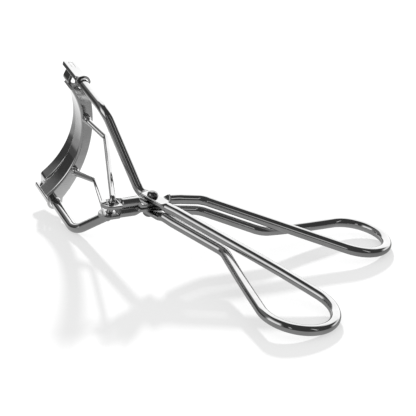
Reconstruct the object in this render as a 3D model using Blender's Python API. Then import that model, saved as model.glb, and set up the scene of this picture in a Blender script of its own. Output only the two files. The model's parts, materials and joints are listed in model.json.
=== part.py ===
"""Eyelash curler: two bent wires crossed on a rivet, with a fixed and a sliding jaw.

Tool frame, which the empty "tool" carries: the pivot is at the origin, +X runs back along the
straight side of the frame wire's finger ring, +Y runs along the rivet, and the rings bulge to +Z
(frame wire) and -Z (lever wire).  Jaw frame, which the empty "rods" carries: the origin lies midway
between the two rod bends, +Z runs along the guide rods to their free ends, and +X is the side that
faces the eyelid.  The tool lies on three points of a table top, the world's XY plane.
"""

import math

import bmesh
import bpy
from mathutils import Matrix, Vector
from mathutils.geometry import normal

# ---- driving dimensions, in metres and degrees ------------------------------------------------

GAP = 0.0003                    # kept between pieces that touch

WIRE_D = 0.0030                 # both main wires
WIRE_SIDES = 12
LEG_Y = 0.0016                  # the two legs of each wire run at this distance from mid-plane
EAR_T = 0.0011                  # coined ears at the pivot
EAR_W = 0.0042
EAR_HALF = 0.0050
LEVER_EAR_Y = 0.0007
FRAME_EAR_Y = 0.0021
SHOULDER = 0.0012               # length over which a round wire becomes flat

RIVET_SHANK_D = 0.0020
RIVET_HOLE_D = 0.0026
RIVET_HEAD_D = 0.0032
RIVET_HEAD_H = 0.0013

BEND_X = -0.0232                # where the arms turn into the guide rods
BEND_Z = 0.0009                 # and how far that is above the frame wire's plane
ROD_Y = 0.0202                  # guide rods to each side of mid-plane
ROD_SLOPE = 29.1                # of the rods below the frame wire's plane
ROD_LENGTH = 0.0294
ROD_BEND_R = 0.0050
ARM_START_X = -0.0052           # where the straight legs splay into the arms
ARM_BEND_R = 0.0030
ROD_FLAT_START = 0.0187         # along the rod, where it is pressed flat
ROD_FLAT_W = 0.0040
ROD_FLAT_T = 0.0015
ROD_FLAT_SHIFT = 0.0006         # the flats lie towards the outside of the rods
ROD_END_TAPER = 0.85            # size of the rods' very ends, against the flats

RING_A_R = 0.0105               # frame wire's finger ring
RING_A_X = 0.0600
RING_A_RETURN = 36.0
RING_BEND_R = 0.0060
RING_B_R = 0.0104               # lever wire's finger ring
RING_B_X = 0.0445
RING_B_RETURN = 45.0

LEVER_FRONT = 105.0             # direction of the lever's front arm, from +X towards +Z
LEVER_REAR = -60.0
LEVER_HANDLE = -21.8
LEVER_KINK = (0.0082, -0.0141)
LEVER_KINK_R = 0.0045
LEVER_FLAT_W = 0.0048
LEVER_FLAT_T = 0.0011
LEVER_FLAT_START = 0.0124
LEVER_TIP = 0.0180
LINK_HOLE_AT = 0.0147
LINK_HOLE_D = 0.0026

LINK_D = 0.00175
LINK_SIDES = 12
LINK_KNEE = (0.0069, -0.0067, 0.0073)   # along the rods, towards the face, from mid-plane
LINK_FOOT = (0.0161, -0.0036, 0.0088)   # shoulder of the foot, in the same terms
LINK_TURN_IN = 0.0021           # length of the foot, up to its bend
LINK_FOOT_BEND_R = 0.0008
LINK_KNEE_BEND_R = 0.0014
LINK_TOP_BEND_R = 0.0011
LINK_FOOT_D = 0.0026
LINK_FOOT_H = 0.0011
LINK_PIN_D = 0.0010
LINK_PIN_HOLE_D = 0.0016
LINK_SIDE_Y = 0.0033            # the legs leave the lever's holes at this distance

JAW_CENTRE = 0.0226             # centre of the sliding jaw's arcs, towards the face
PLATE_Z = 0.0164
PLATE_T = 0.0008
PLATE_INNER_R = 0.0262
PLATE_OUTER_R = 0.0388
PLATE_OUTER_CREST = -0.0069     # crest of the plate's outer edge
PLATE_INNER_HALF = 0.0180
PLATE_OUTER_HALF = 0.0186
PLATE_EAR_R = 0.0025            # plate's rounded ear about each rod
PLATE_EAR_START = 165.0         # degrees
PLATE_EAR_TURN = -190.0
ROD_HOLE_D = 0.0036
LIP_TOP = 0.0222
LIP_T = 0.00065
INNER_LIP_HALF = 0.0180
OUTER_LIP_HALF = 0.0172
LIP_OUTER_R = 0.0295
LIP_BITE = 0.0001               # of the lips into the plate they are one with

PAD_GAP = 0.00025
PAD_TOP = 0.0234
PAD_BEAD_W = 0.0026
PAD_HALF = 0.0168

FLAT_Y = ROD_Y + ROD_FLAT_SHIFT  # middle of each flattened rod end
BLADE_Z0 = 0.0246               # upper jaw
BLADE_Z1 = 0.0290
BLADE_CENTRE = 0.01885          # centre and radius of its middle line
BLADE_R = 0.0248
BLADE_T = 0.00115
BLADE_HALF = 0.0168
TENON_Z0 = 0.0250               # tongues at its ends, through the rods
TENON_Z1 = 0.0283
TENON_ROOT = 3 * GAP            # start of a tongue, inside the rod's inner face
TENON_INSET = 0.00005           # of a tongue's end from the rod's outer face
TENON_THIN = 0.00004            # per side, against the blade
SLOT_GAP = 0.00024

ARC_STEP = math.radians(13.0)   # longest turn between two stations of a wire
ARC_SIDES = 20                  # of a jaw arc
EDGE = 0.00025                  # small chamfers
STEP = 0.00002                  # length of a square shoulder
OVERCUT = 0.0010                # of a cutter past the faces it goes through
SHORTCUT = 0.00015              # of the pin hole's cutter, so that it stays clear of the lips


# ---- scene and materials ----------------------------------------------------------------------

def clear_scene():
    for obj in list(bpy.data.objects):
        bpy.data.objects.remove(obj, do_unlink=True)


def principled(name, colour, metallic, roughness):
    material = bpy.data.materials.new(name)
    material.use_nodes = True
    shader = material.node_tree.nodes["Principled BSDF"]
    shader.inputs["Base Color"].default_value = (*colour, 1.0)
    shader.inputs["Metallic"].default_value = metallic
    shader.inputs["Roughness"].default_value = roughness
    return material


def nickel():
    return principled("dark_nickel", (0.50, 0.50, 0.50), 1.0, 0.10)


def rivet_steel():
    return principled("rivet_steel", (0.30, 0.30, 0.30), 1.0, 0.15)


def black_rubber():
    return principled("black_rubber", (0.012, 0.012, 0.012), 0.0, 0.45)


def empty(name, matrix, parent=None):
    obj = bpy.data.objects.new(name, None)
    bpy.context.scene.collection.objects.link(obj)
    obj.parent = parent
    obj.matrix_local = matrix
    return obj


def add_mesh(name, bm, parent, material=None, smooth_angle=35.0):
    bmesh.ops.recalc_face_normals(bm, faces=bm.faces)
    mesh = bpy.data.meshes.new(name)
    bm.to_mesh(mesh)
    bm.free()
    mesh.shade_smooth()
    mesh.set_sharp_from_angle(angle=math.radians(smooth_angle))
    obj = bpy.data.objects.new(name, mesh)
    bpy.context.scene.collection.objects.link(obj)
    obj.parent = parent
    if material:
        mesh.materials.append(material)
    return obj


def boolean(obj, tool, operation):
    """Cut obj with tool, or join tool to it; the tool itself is left out of the part."""
    tool.hide_render = True
    tool.display_type = "WIRE"
    modifier = obj.modifiers.new(f"{operation.lower()}_{tool.name}", "BOOLEAN")
    modifier.operation = operation
    modifier.solver = "EXACT"
    modifier.object = tool


# ---- wires ------------------------------------------------------------------------------------

def spine(corners):
    """Points and tangents along corners (point, bend radius), and the length to each corner."""
    points = [Vector(point) for point, _ in corners]
    nodes = [(points[0], (points[1] - points[0]).normalized())]
    middles = [0]
    for before, here, after, (_, radius) in zip(points, points[1:], points[2:], corners[1:]):
        into = (here - before).normalized()
        out = (after - here).normalized()
        turn = into.angle(out)
        if radius == 0.0 or turn < 0.001:
            nodes.append((here, (into + out).normalized()))
            middles.append(len(nodes) - 1)
            continue
        axis = into.cross(out).normalized()
        start = here - into * radius * math.tan(turn / 2)
        centre = start + axis.cross(into) * radius
        steps = 2 * max(1, math.ceil(turn / ARC_STEP / 2))
        for step in range(steps + 1):
            swing = Matrix.Rotation(turn * step / steps, 3, axis)
            nodes.append((centre + swing @ (start - centre), swing @ into))
        middles.append(len(nodes) - 1 - steps // 2)
    nodes.append((points[-1], (points[-1] - points[-2]).normalized()))
    middles.append(len(nodes) - 1)
    lengths = [0.0]
    for (here, _), (after, _) in zip(nodes, nodes[1:]):
        lengths.append(lengths[-1] + (after - here).length)
    return nodes, lengths, [lengths[i] for i in middles]


def blend_keys(keys, length):
    """Section at a length: (offset along the flat's normal, width, thickness, flatness)."""
    for (l0, *a), (l1, *b) in zip(keys, keys[1:]):
        if length <= l1:
            part = (length - l0) / (l1 - l0)
            return [x + (y - x) * part for x, y in zip(a, b)]
    return keys[-1][1:]


def section(width, thickness, flatness, sides):
    """Outline that is an ellipse when flatness is 0 and a flat with round edges when it is 1."""
    outline = []
    quarter = sides // 4
    for i in range(sides):
        turn = 2 * math.pi * i / sides
        c = math.cos(turn)
        s = math.sin(turn)
        step = min(i % (2 * quarter), 2 * quarter - i % (2 * quarter))
        edge = math.pi / 2 * min(1.0, step / (quarter - 1))
        edge_r = thickness / 2
        side = math.copysign(1.0, c) if abs(c) > 1e-6 else 0.0
        up = math.copysign(1.0, s) if abs(s) > 1e-6 else 0.0
        flat_x = side * (width / 2 - edge_r + edge_r * math.cos(edge))
        flat_y = up * edge_r * math.sin(edge)
        outline.append((width / 2 * c * (1 - flatness) + flat_x * flatness,
                        thickness / 2 * s * (1 - flatness) + flat_y * flatness))
    return outline


def wire(name, path, keys, reference, sides, parent, material):
    """Sweep the keyed sections along a spine; the flats' normal follows the reference direction."""
    nodes, lengths, _ = path
    stops = sorted(set(lengths) | {key[0] for key in keys})
    stations = [stops[0]]
    for stop in stops[1:]:
        if stop - stations[-1] > 1e-5:
            stations.append(stop)
    bm = bmesh.new()
    rings = []
    i = 0
    for length in stations:
        while i < len(lengths) - 2 and length > lengths[i + 1]:
            i += 1
        part = (length - lengths[i]) / (lengths[i + 1] - lengths[i])
        point = nodes[i][0].lerp(nodes[i + 1][0], part)
        tangent = nodes[i][1].lerp(nodes[i + 1][1], part).normalized()
        thick = (reference - tangent * reference.dot(tangent)).normalized()
        wide = thick.cross(tangent)
        offset, width, thickness, flatness = blend_keys(keys, length)
        rings.append([bm.verts.new(point + wide * x + thick * (y + offset))
                      for x, y in section(width, thickness, flatness, sides)])
    for ring, after in zip(rings, rings[1:]):
        for k in range(sides):
            bm.faces.new((ring[k], ring[k - 1], after[k - 1], after[k]))
    bm.faces.new(rings[0])
    bm.faces.new(reversed(rings[-1]))
    return add_mesh(name, bm, parent, material)


def ring_corners(centre, radius, turn, inward, along):
    """Two corners whose bends make one arc of a finger ring; turn is in degrees, under 360."""
    half = math.radians(turn) / 4
    reach = radius / math.cos(half)
    corners = []
    for angle in (half, 3 * half):
        corners.append(centre + reach * (inward * math.cos(angle) + along * math.sin(angle)))
    return corners


def ring_corner_points(start, along, outward, ring_x, radius, slope):
    """Corners of a finger ring that leaves a straight leg, rounds the tip and slopes back."""
    centre = start + along * ring_x + outward * radius
    tips = ring_corners(centre, radius, 180.0 + slope, -outward, along)
    rise = radius * (1 + math.cos(math.radians(slope)))
    top_x = ring_x - radius * math.sin(math.radians(slope))
    back = start + along * (top_x - rise / math.tan(math.radians(slope)))
    return tips, back


def round_key(length, offset):
    return (length, offset, WIRE_D, WIRE_D, 0.0)


def flat_keys(start, end, offset, width, thickness, round_offset):
    """A flat between two lengths, with a short shoulder to the round wire on each side."""
    return [round_key(start - SHOULDER, round_offset),
            (start, offset, width, thickness, 1.0),
            (end, offset, width, thickness, 1.0),
            round_key(end + SHOULDER, round_offset)]


def drift_keys(start, end, steps=6):
    """Round wire that eases from the upper leg's height to the lower leg's."""
    keys = []
    for step in range(steps + 1):
        part = step / steps
        ease = part * part * (3 - 2 * part)
        keys.append(round_key(start + (end - start) * part, LEG_Y * (1 - 2 * ease)))
    return keys


# ---- frame wire -------------------------------------------------------------------------------

X_AXIS = Vector((1, 0, 0))
Y_AXIS = Vector((0, 1, 0))
Z_AXIS = Vector((0, 0, 1))
ROD_DIR = Vector((-math.cos(math.radians(ROD_SLOPE)), 0, -math.sin(math.radians(ROD_SLOPE))))
BEND = Vector((BEND_X, 0, BEND_Z))


def frame_corners():
    """Rod end, arm, pivot, ring A, pivot, arm, rod end; the legs' height comes from the keys."""
    tips, back = ring_corner_points(Vector(), X_AXIS, Z_AXIS, RING_A_X, RING_A_R, RING_A_RETURN)
    reach = Y_AXIS * (ROD_Y - LEG_Y)
    half = [(BEND + ROD_DIR * ROD_LENGTH + reach, 0.0),
            (BEND + reach, ROD_BEND_R),
            (Vector((ARM_START_X, 0, 0)), ARM_BEND_R),
            (Vector(), 0.0)]
    ring = [(tips[0], RING_A_R), (tips[1], RING_A_R), (back, RING_BEND_R)]
    other = [(Vector((p.x, -p.y, p.z)), r) for p, r in reversed(half)]
    return half + ring + other


def frame_keys(marks):
    rod, _, _, pivot, tip_a, _, back, pivot_b, _, _, rod_b = marks
    flat_end = ROD_LENGTH - ROD_FLAT_START
    out = LEG_Y + ROD_FLAT_SHIFT
    keys = [(rod, out, ROD_FLAT_W * ROD_END_TAPER, ROD_FLAT_T * ROD_END_TAPER, 1.0),
            (rod + EDGE, out, ROD_FLAT_W, ROD_FLAT_T, 1.0),
            (rod + flat_end, out, ROD_FLAT_W, ROD_FLAT_T, 1.0),
            round_key(rod + flat_end + SHOULDER, LEG_Y)]
    keys += flat_keys(pivot - EAR_HALF, pivot + EAR_HALF, FRAME_EAR_Y, EAR_W, EAR_T, LEG_Y)
    keys += drift_keys(tip_a - 3 * RING_A_R, back - RING_BEND_R)
    keys += flat_keys(pivot_b - EAR_HALF, pivot_b + EAR_HALF, -FRAME_EAR_Y, EAR_W, EAR_T, -LEG_Y)
    keys += [round_key(rod_b - flat_end - SHOULDER, -LEG_Y),
             (rod_b - flat_end, -out, ROD_FLAT_W, ROD_FLAT_T, 1.0),
             (rod_b - EDGE, -out, ROD_FLAT_W, ROD_FLAT_T, 1.0),
             (rod_b, -out, ROD_FLAT_W * ROD_END_TAPER, ROD_FLAT_T * ROD_END_TAPER, 1.0)]
    return keys


# ---- lever wire -------------------------------------------------------------------------------

def direction(degrees):
    """Direction in the tool's XZ plane, measured from +X towards +Z."""
    return Vector((math.cos(math.radians(degrees)), 0, math.sin(math.radians(degrees))))


def lever_corners():
    """Front tip, pivot, kink, ring B, kink, pivot, front tip."""
    kink = Vector((LEVER_KINK[0], 0, LEVER_KINK[1]))
    along = direction(LEVER_HANDLE)
    outward = direction(LEVER_HANDLE - 90.0)
    tips, back = ring_corner_points(kink, along, outward, RING_B_X, RING_B_R, RING_B_RETURN)
    half = [(direction(LEVER_FRONT) * LEVER_TIP, 0.0), (Vector(), 0.0), (kink, LEVER_KINK_R)]
    ring = [(tips[0], RING_B_R), (tips[1], RING_B_R), (back, RING_BEND_R)]
    return half + ring + list(reversed(half))


def tip_keys(end, inward, offset):
    """The front flat with its rounded tip, from the wire's end inwards."""
    keys = []
    radius = LEVER_FLAT_W / 2
    turns = (20.0, 40.0, 65.0, 90.0)
    for turn in turns:
        depth = radius * (math.cos(math.radians(turns[0])) - math.cos(math.radians(turn)))
        width = LEVER_FLAT_W * math.sin(math.radians(turn))
        keys.append((end + inward * depth, offset, width, LEVER_FLAT_T, 1.0))
    flat = LEVER_TIP - LEVER_FLAT_START
    keys.append((end + inward * flat, offset, LEVER_FLAT_W, LEVER_FLAT_T, 1.0))
    keys.append(round_key(end + inward * (flat + SHOULDER), offset))
    return keys if inward > 0 else list(reversed(keys))


def lever_keys(marks):
    tip, pivot, _, tip_a, _, back, _, pivot_b, tip_end = marks
    half = EAR_HALF - SHOULDER / 2
    keys = tip_keys(tip, 1, LEG_Y)
    keys += flat_keys(pivot - half, pivot + half, LEVER_EAR_Y, EAR_W, EAR_T, LEG_Y)
    keys += drift_keys(tip_a, back)
    keys += flat_keys(pivot_b - half, pivot_b + half, -LEVER_EAR_Y, EAR_W, EAR_T, -LEG_Y)
    keys += tip_keys(tip_end, -1, -LEG_Y)
    return keys


# ---- link wire --------------------------------------------------------------------------------

def rods_to_tool(along, face, y):
    """Tool coordinates of a point given along the rods, towards the face and from mid-plane."""
    towards_face = Vector((-math.sin(math.radians(ROD_SLOPE)), 0, math.cos(math.radians(ROD_SLOPE))))
    return BEND + ROD_DIR * along + towards_face * face + Y_AXIS * y


def foot_pivot():
    """The link rocks about this point, midway between its feet."""
    return rods_to_tool(LINK_FOOT[0], LINK_FOOT[1], 0.0)


def link_corners():
    """Foot, knee, lever hole, knee, foot, measured from the foot pivot."""
    hole = direction(LEVER_FRONT) * LINK_HOLE_AT
    pin_end = rods_to_tool(PLATE_Z + PLATE_T, LINK_FOOT[1], LINK_FOOT[2])
    turn_in = rods_to_tool(LINK_FOOT[0] - LINK_TURN_IN, LINK_FOOT[1], LINK_FOOT[2])
    knee = rods_to_tool(*LINK_KNEE)
    top = hole + Y_AXIS * LINK_SIDE_Y
    half = [(pin_end, 0.0),
            (turn_in, LINK_FOOT_BEND_R),
            (knee, LINK_KNEE_BEND_R),
            (top, LINK_TOP_BEND_R)]
    other = [(Vector((p.x, -p.y, p.z)), r) for p, r in reversed(half)]
    return [(p - foot_pivot(), r) for p, r in half + other]


def foot_keys(end, inward):
    """Pin, upset collar and shank of one foot, from the wire's end inwards."""
    pin = PLATE_Z + PLATE_T - LINK_FOOT[0]
    keys = []
    for depth, size in ((0.0, LINK_PIN_D), (pin - STEP, LINK_PIN_D), (pin, LINK_FOOT_D - EDGE),
                        (pin + EDGE, LINK_FOOT_D), (pin + LINK_FOOT_H - EDGE, LINK_FOOT_D),
                        (pin + LINK_FOOT_H, LINK_D)):
        keys.append((end + inward * depth, 0.0, size, size, 0.0))
    return keys if inward > 0 else list(reversed(keys))


# ---- jaws -------------------------------------------------------------------------------------

def arc_points(radius, half, centre=JAW_CENTRE, steps=ARC_SIDES):
    """Evenly turned points along a jaw arc, from -half to +half."""
    reach = math.asin(half / radius)
    points = []
    for step in range(steps + 1):
        turn = reach * (2 * step / steps - 1)
        points.append((centre - radius * math.cos(turn), radius * math.sin(turn)))
    return points


def prism(name, outline, z0, z1, parent, material=None):
    """Outline in the XY plane, extruded from z0 to z1."""
    bm = bmesh.new()
    face = bm.faces.new([bm.verts.new((x, y, z0)) for x, y in outline])
    extruded = bmesh.ops.extrude_face_region(bm, geom=[face])
    moved = [v for v in extruded["geom"] if isinstance(v, bmesh.types.BMVert)]
    bmesh.ops.translate(bm, verts=moved, vec=(0, 0, z1 - z0))
    return add_mesh(name, bm, parent, material)


def strip(outer_r, thickness, half):
    """Outline of a curved strip."""
    outer = arc_points(outer_r, half)
    inner = arc_points(outer_r - thickness, half)
    return outer + list(reversed(inner))


def circle_outline(x, y, radius, sides=24, start=0.0, sweep=360.0):
    points = []
    count = sides if sweep == 360.0 else sides + 1
    for i in range(count):
        turn = math.radians(start + sweep * i / sides)
        points.append((x + radius * math.cos(turn), y + radius * math.sin(turn)))
    return points


def plate_outline():
    """Sliding jaw's base: an arched plate with a broad rounded ear about each rod."""
    outer_centre = PLATE_OUTER_CREST + PLATE_OUTER_R
    outer = arc_points(PLATE_OUTER_R, PLATE_OUTER_HALF, outer_centre)
    inner = arc_points(PLATE_INNER_R, PLATE_INNER_HALF)
    ear = circle_outline(0.0, ROD_Y, PLATE_EAR_R, 12, PLATE_EAR_START, PLATE_EAR_TURN)
    other_ear = [(x, -y) for x, y in reversed(ear)]
    return outer + ear + list(reversed(inner)) + other_ear


def lower_jaw(parent, material):
    plate = prism("lower_jaw", plate_outline(), PLATE_Z, PLATE_Z + PLATE_T, parent, material)
    floor = PLATE_Z + PLATE_T
    for name, outer_r, half in (("inner_lip", PLATE_INNER_R + LIP_T, INNER_LIP_HALF),
                                ("outer_lip", LIP_OUTER_R, OUTER_LIP_HALF)):
        lip = prism(name, strip(outer_r, LIP_T, half), floor - LIP_BITE, LIP_TOP, parent)
        boolean(plate, lip, "UNION")
    for side, y in (("upper", 1), ("under", -1)):
        outline = circle_outline(0, y * ROD_Y, ROD_HOLE_D / 2)
        hole = prism(f"rod_hole_{side}", outline, PLATE_Z - OVERCUT, floor + OVERCUT, parent)
        boolean(plate, hole, "DIFFERENCE")
        outline = circle_outline(LINK_FOOT[1], y * LINK_FOOT[2], LINK_PIN_HOLE_D / 2, 12)
        hole = prism(f"pin_hole_{side}", outline, PLATE_Z - OVERCUT, floor + SHORTCUT, parent)
        boolean(plate, hole, "DIFFERENCE")
    return plate


def sweep_arc(name, profile, half, parent, material):
    """Sweep a closed profile (radius, z) along a jaw arc."""
    bm = bmesh.new()
    rings = []
    for step in range(ARC_SIDES + 1):
        turn = math.asin(half / PLATE_INNER_R) * (2 * step / ARC_SIDES - 1)
        rings.append([bm.verts.new((JAW_CENTRE - r * math.cos(turn), r * math.sin(turn), z))
                      for r, z in profile])
    count = len(profile)
    for ring, after in zip(rings, rings[1:]):
        for k in range(count):
            bm.faces.new((ring[k - 1], ring[k], after[k], after[k - 1]))
    bm.faces.new(reversed(rings[0]))
    bm.faces.new(rings[-1])
    return add_mesh(name, bm, parent, material)


def lash_pad(parent, material):
    """Rubber strip: a base between the lips and a rounded bead that overhangs them."""
    base_in = PLATE_INNER_R + LIP_T + PAD_GAP
    base_out = LIP_OUTER_R - LIP_T - PAD_GAP
    middle = (base_in + base_out) / 2
    floor = PLATE_Z + PLATE_T + GAP
    bead_z = LIP_TOP + PAD_GAP
    profile = [(base_in, floor), (base_out, floor), (base_out, bead_z)]
    for turn in range(0, 181, 30):
        profile.append((middle + PAD_BEAD_W / 2 * math.cos(math.radians(turn)),
                        bead_z + (PAD_TOP - bead_z) * math.sin(math.radians(turn))))
    profile.append((base_in, bead_z))
    return sweep_arc("lash_pad", profile, PAD_HALF, parent, material)


def blade_line():
    """Middle line of the upper jaw: an arc, then a tab that bends out to each rod."""
    knee_y = FLAT_Y - ROD_FLAT_T / 2 - 2 * GAP
    arc = arc_points(BLADE_R, BLADE_HALF, BLADE_CENTRE)
    return [(0.0, -knee_y)] + arc + [(0.0, knee_y)]


def thick_line(line, thickness):
    """Outline of a strip of even thickness about an open middle line."""
    left = []
    right = []
    for i, (x, y) in enumerate(line):
        here = Vector((x, y))
        before = Vector(line[max(i - 1, 0)])
        after = Vector(line[min(i + 1, len(line) - 1)])
        into = (here - before).normalized() if i else (after - here).normalized()
        out = (after - here).normalized() if i < len(line) - 1 else into
        along = (into + out).normalized()
        across = Vector((-along.y, along.x)) * thickness / 2 / max(0.5, along.dot(into))
        left.append(tuple(here + across))
        right.append(tuple(here - across))
    return left + list(reversed(right))


def box_outline(x0, x1, y0, y1):
    return [(x0, y0), (x1, y0), (x1, y1), (x0, y1)]


def upper_jaw(parent, material):
    outline = thick_line(blade_line(), BLADE_T)
    blade = prism("upper_jaw", outline, BLADE_Z0, BLADE_Z1, parent, material)
    inner = FLAT_Y - ROD_FLAT_T / 2 - TENON_ROOT
    outer = FLAT_Y + ROD_FLAT_T / 2 - TENON_INSET
    half = BLADE_T / 2 - TENON_THIN
    for side, y in (("upper", 1), ("under", -1)):
        outline = box_outline(-half, half, *sorted((y * inner, y * outer)))
        tenon = prism(f"tenon_{side}", outline, TENON_Z0, TENON_Z1, parent)
        boolean(blade, tenon, "UNION")
    return blade


def cut_slots(frame, parent):
    """A slot through each flattened rod end for the upper jaw's tenon."""
    half = BLADE_T / 2 + SLOT_GAP
    inner = FLAT_Y - ROD_FLAT_T
    outer = FLAT_Y + ROD_FLAT_T
    for side, y in (("upper", 1), ("under", -1)):
        outline = box_outline(-half, half, *sorted((y * inner, y * outer)))
        slot = prism(f"slot_{side}", outline, TENON_Z0 - GAP, TENON_Z1 + GAP, parent)
        boolean(frame, slot, "DIFFERENCE")


# ---- rivet and its holes ----------------------------------------------------------------------

def turned(name, profile, sides, parent, material=None):
    """Spin a profile (radius, height) about the local Y axis."""
    bm = bmesh.new()
    rings = []
    for radius, height in profile:
        if radius == 0.0:
            rings.append([bm.verts.new((0, height, 0))])
            continue
        ring = []
        for i in range(sides):
            turn = 2 * math.pi * (i + 0.5) / sides
            ring.append(bm.verts.new((radius * math.cos(turn), height, radius * math.sin(turn))))
        rings.append(ring)
    for ring, after in zip(rings, rings[1:]):
        for k in range(sides):
            corners = [ring[k % len(ring)], ring[k - 1 if len(ring) > 1 else 0],
                       after[k - 1 if len(after) > 1 else 0], after[k % len(after)]]
            bm.faces.new(list(dict.fromkeys(corners)))
    return add_mesh(name, bm, parent, material)


def pivot_rivet(parent, material):
    """Through rivet with a low dome at each end."""
    seat = FRAME_EAR_Y + EAR_T / 2 + GAP
    head = []
    for turn in (0, 12, 32, 52, 72):
        head.append((RIVET_HEAD_D / 2 * math.cos(math.radians(turn)),
                     seat + EDGE + (RIVET_HEAD_H - EDGE) * math.sin(math.radians(turn))))
    half = [(RIVET_SHANK_D / 2, seat), (RIVET_HEAD_D / 2, seat)] + head + [(0.0, seat + RIVET_HEAD_H)]
    profile = [(r, -h) for r, h in reversed(half)] + half
    return turned("pivot_rivet", profile, 20, parent, material)


def y_hole(name, centre, diameter, parent):
    """Cutter along Y, through both legs of a wire."""
    reach = 0.006
    outline = [(0.0, -reach), (diameter / 2, -reach), (diameter / 2, reach), (0.0, reach)]
    cutter = turned(name, outline, 20, parent)
    cutter.location = centre
    return cutter


# ---- resting pose -----------------------------------------------------------------------------

def lowest(points, up):
    return min(points, key=lambda p: p.dot(up))


def centreline(path, keys):
    """Centreline points of a swept wire, with the legs' height added."""
    nodes, lengths, _ = path
    points = []
    for (point, tangent), length in zip(nodes, lengths):
        thick = (Y_AXIS - tangent * tangent.y).normalized()
        points.append(point + thick * blend_keys(keys, length)[0])
    return points


def resting_rotation(frame_line, lever_line):
    """Turn from the tool frame to the world for a tool lying on a bend and both rings."""
    bend = [p for p in frame_line if p.x < BEND_X * 0.8 and p.y < 0]
    ring_a = [p for p in frame_line if p.x > RING_A_X * 0.5]
    ring_b = [p for p in lever_line if p.x > RING_B_X * 0.5]
    up = Y_AXIS.copy()
    for _ in range(12):
        up = normal([lowest(bend, up), lowest(ring_a, up), lowest(ring_b, up)])
        if up.y < 0:
            up.negate()
    forward = (X_AXIS - up * X_AXIS.dot(up)).normalized()
    return Matrix((forward, up.cross(forward), up)).to_4x4()


def place_on_table(root, pieces):
    """Shift the tool so that the middle of its footprint is the origin and it stands on z = 0."""
    bpy.context.view_layer.update()
    depsgraph = bpy.context.evaluated_depsgraph_get()
    corners = []
    for piece in pieces:
        solid = piece.evaluated_get(depsgraph)
        corners += [piece.matrix_world @ v.co for v in solid.data.vertices]
    low = [min(c[i] for c in corners) for i in range(3)]
    high = [max(c[i] for c in corners) for i in range(3)]
    root.location = (-(low[0] + high[0]) / 2, -(low[1] + high[1]) / 2, -low[2])


# ---- assembly ---------------------------------------------------------------------------------

def build():
    clear_scene()
    metal = nickel()
    frame_path = spine(frame_corners())
    frame_sections = frame_keys(frame_path[2])
    lever_path = spine(lever_corners())
    lever_sections = lever_keys(lever_path[2])
    pose = resting_rotation(centreline(frame_path, frame_sections),
                            centreline(lever_path, lever_sections))

    tool = empty("tool", pose)
    rods = empty("rods", Matrix.Translation(BEND) @ Matrix.Rotation(
        math.radians(-90.0 - ROD_SLOPE), 4, "Y"), tool)
    lever_pivot = empty("lever_pivot", Matrix.Identity(4), tool)
    link_pivot = empty("link_pivot", Matrix.Translation(foot_pivot()), tool)

    frame = wire("frame_wire", frame_path, frame_sections, Y_AXIS, WIRE_SIDES, tool, metal)
    boolean(frame, y_hole("frame_rivet_hole", (0, 0, 0), RIVET_HOLE_D, tool), "DIFFERENCE")
    cut_slots(frame, rods)

    lever = wire("lever_wire", lever_path, lever_sections, Y_AXIS, WIRE_SIDES, lever_pivot, metal)
    boolean(lever, y_hole("lever_rivet_hole", (0, 0, 0), RIVET_HOLE_D, lever_pivot), "DIFFERENCE")
    link_hole = y_hole("link_hole", direction(LEVER_FRONT) * LINK_HOLE_AT, LINK_HOLE_D, lever_pivot)
    boolean(lever, link_hole, "DIFFERENCE")

    link_path = spine(link_corners())
    link_end = link_path[1][-1]
    across = direction(LEVER_FRONT - 60.0)
    link = wire("link_wire", link_path, foot_keys(0.0, 1) + foot_keys(link_end, -1), across,
                LINK_SIDES, link_pivot, metal)

    pieces = [frame, lever, link,
              pivot_rivet(tool, rivet_steel()),
              upper_jaw(rods, metal),
              lower_jaw(rods, metal),
              lash_pad(rods, black_rubber())]
    place_on_table(tool, pieces)


build()
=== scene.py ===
"""Looks of the eyelash curler.

Polished bent wires, pressed jaws, a domed rivet and a rubber pad, in a pale studio.
"""

import json
import math

import bmesh
import bpy
from mathutils import Matrix, Vector


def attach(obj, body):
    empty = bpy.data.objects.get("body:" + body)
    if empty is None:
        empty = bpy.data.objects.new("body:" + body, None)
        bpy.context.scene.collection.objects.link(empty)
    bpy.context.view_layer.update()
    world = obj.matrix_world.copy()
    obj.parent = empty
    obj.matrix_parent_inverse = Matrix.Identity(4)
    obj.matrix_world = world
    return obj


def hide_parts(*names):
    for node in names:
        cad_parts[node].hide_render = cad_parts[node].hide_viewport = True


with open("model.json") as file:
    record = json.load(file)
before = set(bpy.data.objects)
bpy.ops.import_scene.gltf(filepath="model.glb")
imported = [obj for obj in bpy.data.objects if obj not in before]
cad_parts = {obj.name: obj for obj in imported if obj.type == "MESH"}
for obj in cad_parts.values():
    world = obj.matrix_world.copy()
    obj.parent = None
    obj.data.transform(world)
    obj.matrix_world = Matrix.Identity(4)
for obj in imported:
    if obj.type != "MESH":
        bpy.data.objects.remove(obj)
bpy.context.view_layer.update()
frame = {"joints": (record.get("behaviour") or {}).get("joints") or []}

# ---- sizes, in metres and degrees, in step with the CAD part -----------------------------------

WIRE_D = 0.0030
LEG_Y = 0.0016                  # legs of each wire at the pivot, from the mid-plane
LEG_SPREAD_Y = 0.00178          # and further along the handles
SPREAD = 0.0040                 # length over which they spread
EAR_T = 0.0011                  # pressed ears at the pivot
EAR_W = 0.0043
EAR_HALF = 0.0046
EAR_FRONT = 0.0028              # the frame wire's ears are shorter towards the jaws
LEVER_EAR_Y = 0.0007
FRAME_EAR_Y = 0.0021
SHOULDER = 0.0010               # length over which a round wire becomes flat
FLAT_EDGE = 0.00028             # radius along the edges of a pressed flat
PIVOT_HOLE_D = 0.0024
LINK_HOLE_D = 0.0025            # clearance that lets the opened pivot drift
CUT_REACH = 0.0060              # half length of a hole's cutter

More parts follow.
